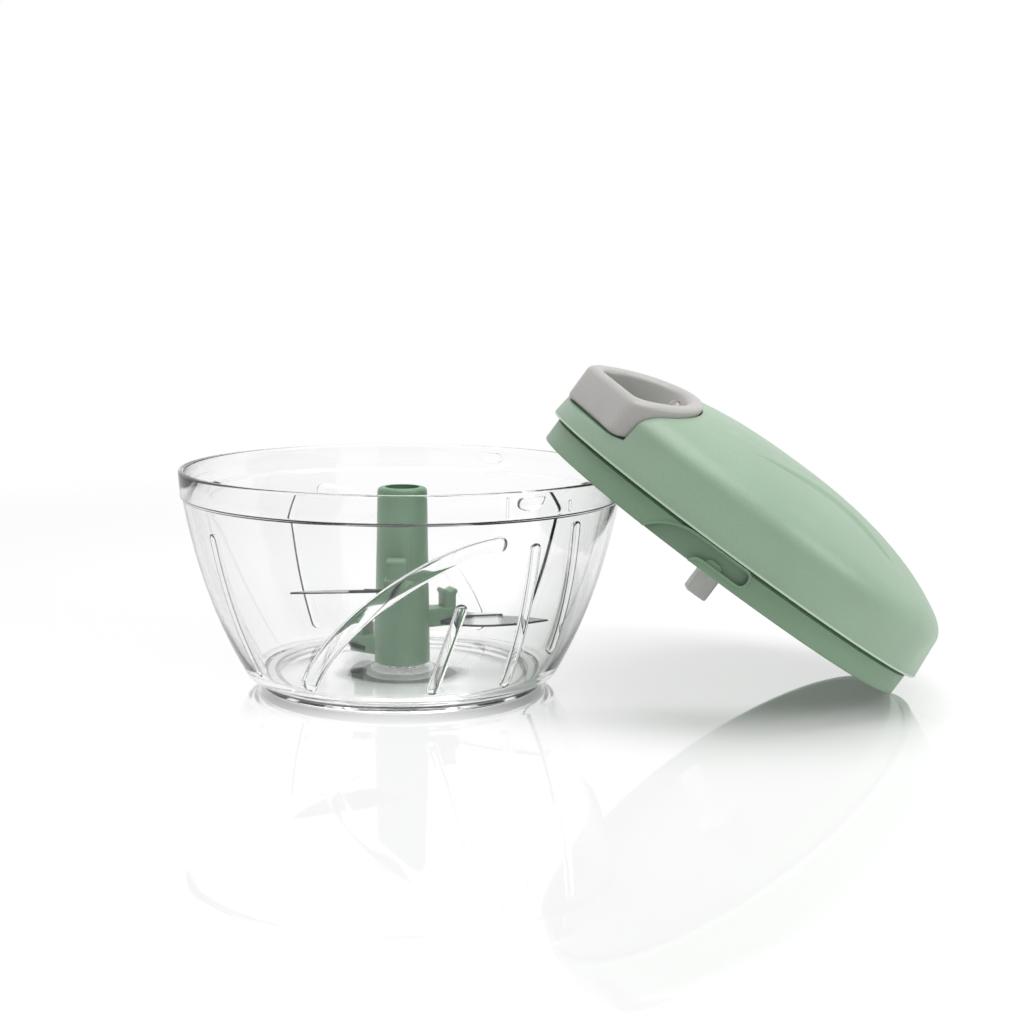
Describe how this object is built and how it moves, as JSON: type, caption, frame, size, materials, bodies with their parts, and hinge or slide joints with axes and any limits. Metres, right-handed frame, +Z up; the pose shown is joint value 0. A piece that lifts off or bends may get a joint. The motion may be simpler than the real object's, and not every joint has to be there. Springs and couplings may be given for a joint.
{
  "type": "food chopper",
  "caption": "Hand-pulled food chopper: a clear bowl with a removable blade column, and a domed lid that holds a pull handle on a cord, a spring-wound spool and a square drive peg.",
  "frame": {"origin": "on the bowl's axis, at the foot of the bowl", "axes": "+Z up along the bowl's axis, +X from the bowl towards the lid that leans on it"},
  "size_m": [0.2055, 0.1213, 0.0879],
  "materials": {
    "clear_plastic": "clear, polished",
    "lid_green": "satin sage green",
    "housing_green": "satin, darker green",
    "handle_grey": "satin warm grey",
    "peg_grey": "satin light grey",
    "white_plastic": "satin off-white",
    "blade_steel": "ground and polished",
    "steel": "plain",
    "cord": "braided"
  },
  "bodies": {
    "bowl": {"bowl": "clear_plastic", "pivot_pin": "steel"},
    "blade_unit": {"blade_column": "housing_green", "upper_blade": "blade_steel", "middle_blade": "blade_steel", "lower_blade": "blade_steel"},
    "lid": {"top_cover": "lid_green", "lower_housing": "housing_green", "housing_screw_1": "steel", "housing_screw_2": "steel", "housing_screw_3": "steel", "housing_screw_4": "steel", "spool_axle": "steel", "axle_washer": "steel", "axle_screw": "steel", "drive_bush": "white_plastic", "cord_guide": "steel", "cord_lead": "cord"},
    "handle": {"pull_handle": "handle_grey", "cord_end": "cord"},
    "spool": {"spool": "white_plastic", "spring_cap": "white_plastic", "recoil_spring": "steel", "cord_winding": "cord", "pawl_pin_1": "steel", "pawl_pin_2": "steel"},
    "drive": {"drive_peg": "peg_grey", "clutch_cup": "white_plastic", "drive_screw": "steel"},
    "pawl_1": {"pawl_1": "white_plastic"},
    "pawl_2": {"pawl_2": "white_plastic"}
  },
  "joints": [
    {"name": "blade_spin", "type": "hinge", "parent": "bowl", "child": "blade_unit", "pos_m": [0, 0, 0], "axis": [0, 0, 1], "continuous": true},
    {"name": "lid_lift", "type": "slide", "parent": "bowl", "child": "lid", "axis": [0, 0, 1], "range_m": [0, 0.12]},
    {"name": "handle_pull", "type": "slide", "parent": "lid", "child": "handle", "axis": [-0.765, -0.342, 0.5457], "range_m": [0, 0.299], "stiffness_N_per_m": 8, "springref_m": -0.25},
    {"name": "spool_spin", "type": "hinge", "parent": "lid", "child": "spool", "pos_m": [0.09019, -0.0011, 0.03946], "axis": [0.5807, 0, 0.8141], "range_deg": [0, 901]},
    {"name": "drive_spin", "type": "hinge", "parent": "lid", "child": "drive", "pos_m": [0.09019, -0.0011, 0.03946], "axis": [0.5807, 0, 0.8141], "range_deg": [0, 901]},
    {"name": "pawl_1_swing", "type": "hinge", "parent": "spool", "child": "pawl_1", "pos_m": [0.10184, -0.0011, 0.04098], "axis": [0.5807, 0, 0.8141], "range_deg": [0, 22]},
    {"name": "pawl_2_swing", "type": "hinge", "parent": "spool", "child": "pawl_2", "pos_m": [0.08784, -0.0011, 0.05097], "axis": [0.5807, 0, 0.8141], "range_deg": [0, 22]}
  ],
  "couplings": [
    {"joint": "spool_spin", "follows": "handle_pull", "rad_per_m": 52.487},
    {"joint": "drive_spin", "follows": "handle_pull", "rad_per_m": 52.487}
  ]
}
